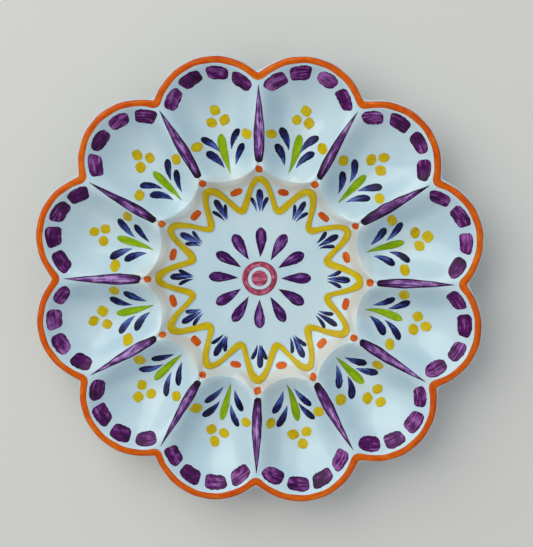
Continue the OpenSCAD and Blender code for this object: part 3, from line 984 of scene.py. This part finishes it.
def rosette_petals(material):
    """Petals round the spot, widest towards their outer ends."""
    brush = Brush("rosette_petals", 26, 10)
    start = SPOT_R + PETAL_INSET

    def widths(share):
        return width_share(1 - share, belly=0.34, landing=0.3, foot_power=1.8, tip_power=1.35, cap=0.2)
    for k in range(PETALS):
        tip = (vary(ROSETTE_R, 0.015), stray(0.4) * MM)
        middle = line((start, 0), tip, stray(0.5) * MM)
        way = k * 2 * math.pi / PETALS + small(1)
        brush.stroke(turned(middle, way), vary(PETAL_W, 0.07), widths, unsteady=0.05)
    return brush.done("purple_glaze", material)


def rosette_spot(material):
    """A round dab inside a ring, both drawn with a loaded brush."""
    ring_in = SPOT_DISC_R + SPOT_GAP
    ring_w = SPOT_R - ring_in

    def middle(angle):
        return (ring_in + SPOT_R) / 2 + 0.12 * MM * np.sin(angle * 2 + 0.5)

    def width(angle):
        swell = 1 + 0.08 * np.sin(angle * 3)
        return ring_w / 2 * swell, ring_w / 2 * swell
    ring = closed_line("rosette_ring", 120, 8, middle, width, unsteady=0.02)
    brush = Brush("rosette_spot", 22, 14)
    disc = line((-SPOT_DISC_R, 0), (SPOT_DISC_R, 0))
    brush.stroke(disc, 2 * SPOT_DISC_R, dab(2.0), unsteady=0.03)
    whole = joined("rosette_spot", brush.strokes)
    bpy.data.objects.remove(brush.sheet)
    thicken(whole, STROKE_T)
    whole = joined("rosette_spot", [whole, ring])
    return settled(whole, "rose_glaze", material, "rosette_spot")


# Each glaze has one colour where it lies thick, one where it lies evenly and one where it lies thin
orange = brushed_glaze("orange_brushed_glaze", "#B83C00", "#D65A00", "#E87E0E", pool=0.7, streaks=0.9,
                       clouds=0.8, dry=0.06)
purple = brushed_glaze("purple_brushed_glaze", "#24002C", "#560A5E", "#AC68B4", pool=1.3, pooling=0.22,
                       streaks=1.0, clouds=1.2, dry=0.06)
# The violet stripes' lighter middle is partly painted sheen along the ridge tops
violet = brushed_glaze("violet_brushed_glaze", "#1C0224", "#602C76", "#C29ADA", pool=1.2, pooling=0.55,
                       heart_and_sheen=0.25, dry=0.15, tip=0.15)
grape = brushed_glaze("grape_brushed_glaze", "#18042C", "#44105E", "#9E6CB6", pool=0.8, heart_and_sheen=0.1,
                      streaks=0.9, clouds=1.0, dry=0.12)
green = brushed_glaze("lime_brushed_glaze", "#6A8C00", "#84AA00", "#A8C81C", pool=0.7, streaks=0.9,
                      clouds=0.9, dry=0.08)
blue = brushed_glaze("dark_blue_brushed_glaze", "#04032A", "#181A62", "#5470BC", pool=0.7, dry=0.08,
                     tip=-0.9)
yellow = brushed_glaze("yellow_brushed_glaze", "#B89600", "#CEB200", "#DCC81E", pool=0.6, streaks=0.7,
                       clouds=0.8, dry=0.05)
rose = brushed_glaze("rose_brushed_glaze", "#7E2040", "#A8405F", "#D088A0", pool=0.8, dry=0.3)

platter_body()
foot_ring()
rim_band(orange)
rim_dashes(purple)
ridge_stripes(violet)
well_stems(green)
well_leaves(blue)
well_berries(yellow)
wavy_vine(yellow)
bud_strokes(blue)
orange_dots(orange)
rosette_petals(grape)
rosette_spot(rose)


# Room, light and camera

# The room's colour, how bright that shows and how bright its light is, then the width of the floor and
# the height and width of the lamps, in metres
PALE = "#DEDCD8"
PALE_SEEN = 0.72
FILL = 0.29
GROUND_W = 4.4
LAMP_H = 1.75
LAMP_D = 3.2


def pale_material():
    """Matt pale board, plain and even."""
    material, tree = new_material("pale_board")
    shader = add(tree, "ShaderNodeBsdfPrincipled", {"Base Color": linear(PALE), "Roughness": 0.9})
    add(tree, "ShaderNodeOutputMaterial", {"Surface": shader.outputs[0]})
    return material


bpy.ops.object.select_all(action="DESELECT")
bpy.ops.mesh.primitive_plane_add(size=GROUND_W)
floor = bpy.context.object
floor.name = "floor"
floor.data.materials.append(pale_material())

world = bpy.data.worlds.new("soft_studio")
bpy.context.scene.world = world
world.use_nodes = True
world.node_tree.nodes.clear()
room = world.node_tree
fill = add(room, "ShaderNodeBackground", {"Color": linear("#DCEAFA"), "Strength": FILL})
# Behind the floor's edge, and in the gloss of the glaze, the room is as pale as the floor
seen = add(room, "ShaderNodeLightPath").outputs
either = add(room, "ShaderNodeMath", {0: seen["Is Camera Ray"], 1: seen["Is Glossy Ray"]},
             operation="MAXIMUM")
shown = add(room, "ShaderNodeMath", {0: either.outputs[0], 1: seen["Is Transmission Ray"]},
            operation="MAXIMUM")
wall = add(room, "ShaderNodeBackground", {"Color": linear(PALE), "Strength": PALE_SEEN})
both = add(room, "ShaderNodeMixShader", {0: shown.outputs[0], 1: fill.outputs[0], 2: wall.outputs[0]})
add(room, "ShaderNodeOutputWorld", {"Surface": both.outputs[0]})


def softbox(name, x, y, power, colour):
    """A round soft lamp above the plate, turned to its middle."""
    spot = Vector((x, y, LAMP_H))
    bpy.ops.object.light_add(type="AREA", location=spot)
    lamp = bpy.context.object
    lamp.name = name
    lamp.rotation_euler = (-spot).to_track_quat("-Z", "Y").to_euler()
    lamp.data.shape = "DISK"
    lamp.data.size = LAMP_D
    lamp.data.color = linear(colour)[:3]
    lamp.data.energy = power


softbox("key_softbox", -1.3, 1.4, 55, "#FCFCF4")
softbox("right_softbox", 1.5, -1.3, 11, "#FFF6EA")
softbox("left_softbox", -1.5, -1.3, 11.5, "#FFF6EC")
softbox("top_softbox", 1.45, 1.45, 11, "#DEECFF")

# The photograph looks almost straight down, from a little above and to the right of the middle. Its
# focal length is in its own pixels
PHOTO_W, PHOTO_H = 533, 547
PHOTO_FOCAL = 1477.5
CAMERA_FAR = 1.0
SENSOR_W = 36
AIM = Vector((5.66 * MM, 5.0 * MM, 25 * MM))
LEAN_UP, LEAN_RIGHT, ROLL = (math.radians(a) for a in (7.13, 4.57, 0.34))
across, up = math.sin(LEAN_RIGHT), math.sin(LEAN_UP)
spot = Vector((across, up, math.sqrt(1 - across ** 2 - up ** 2))) * CAMERA_FAR + Vector((0, 0, AIM.z))
back = (spot - AIM).normalized()
right = Vector((0, 1, 0)).cross(back).normalized()
top = back.cross(right)
right, top = (right * math.cos(ROLL) + top * math.sin(ROLL),
              top * math.cos(ROLL) - right * math.sin(ROLL))
bpy.ops.object.camera_add()
camera = bpy.context.object
camera.matrix_world = Matrix((right, top, back)).transposed().to_4x4()
camera.location = spot
camera.data.sensor_width = SENSOR_W
camera.data.lens = SENSOR_W * PHOTO_FOCAL / max(PHOTO_W, PHOTO_H)
bpy.context.scene.camera = camera
bpy.context.scene.view_settings.view_transform = "Standard"

bpy.context.view_layer.update()
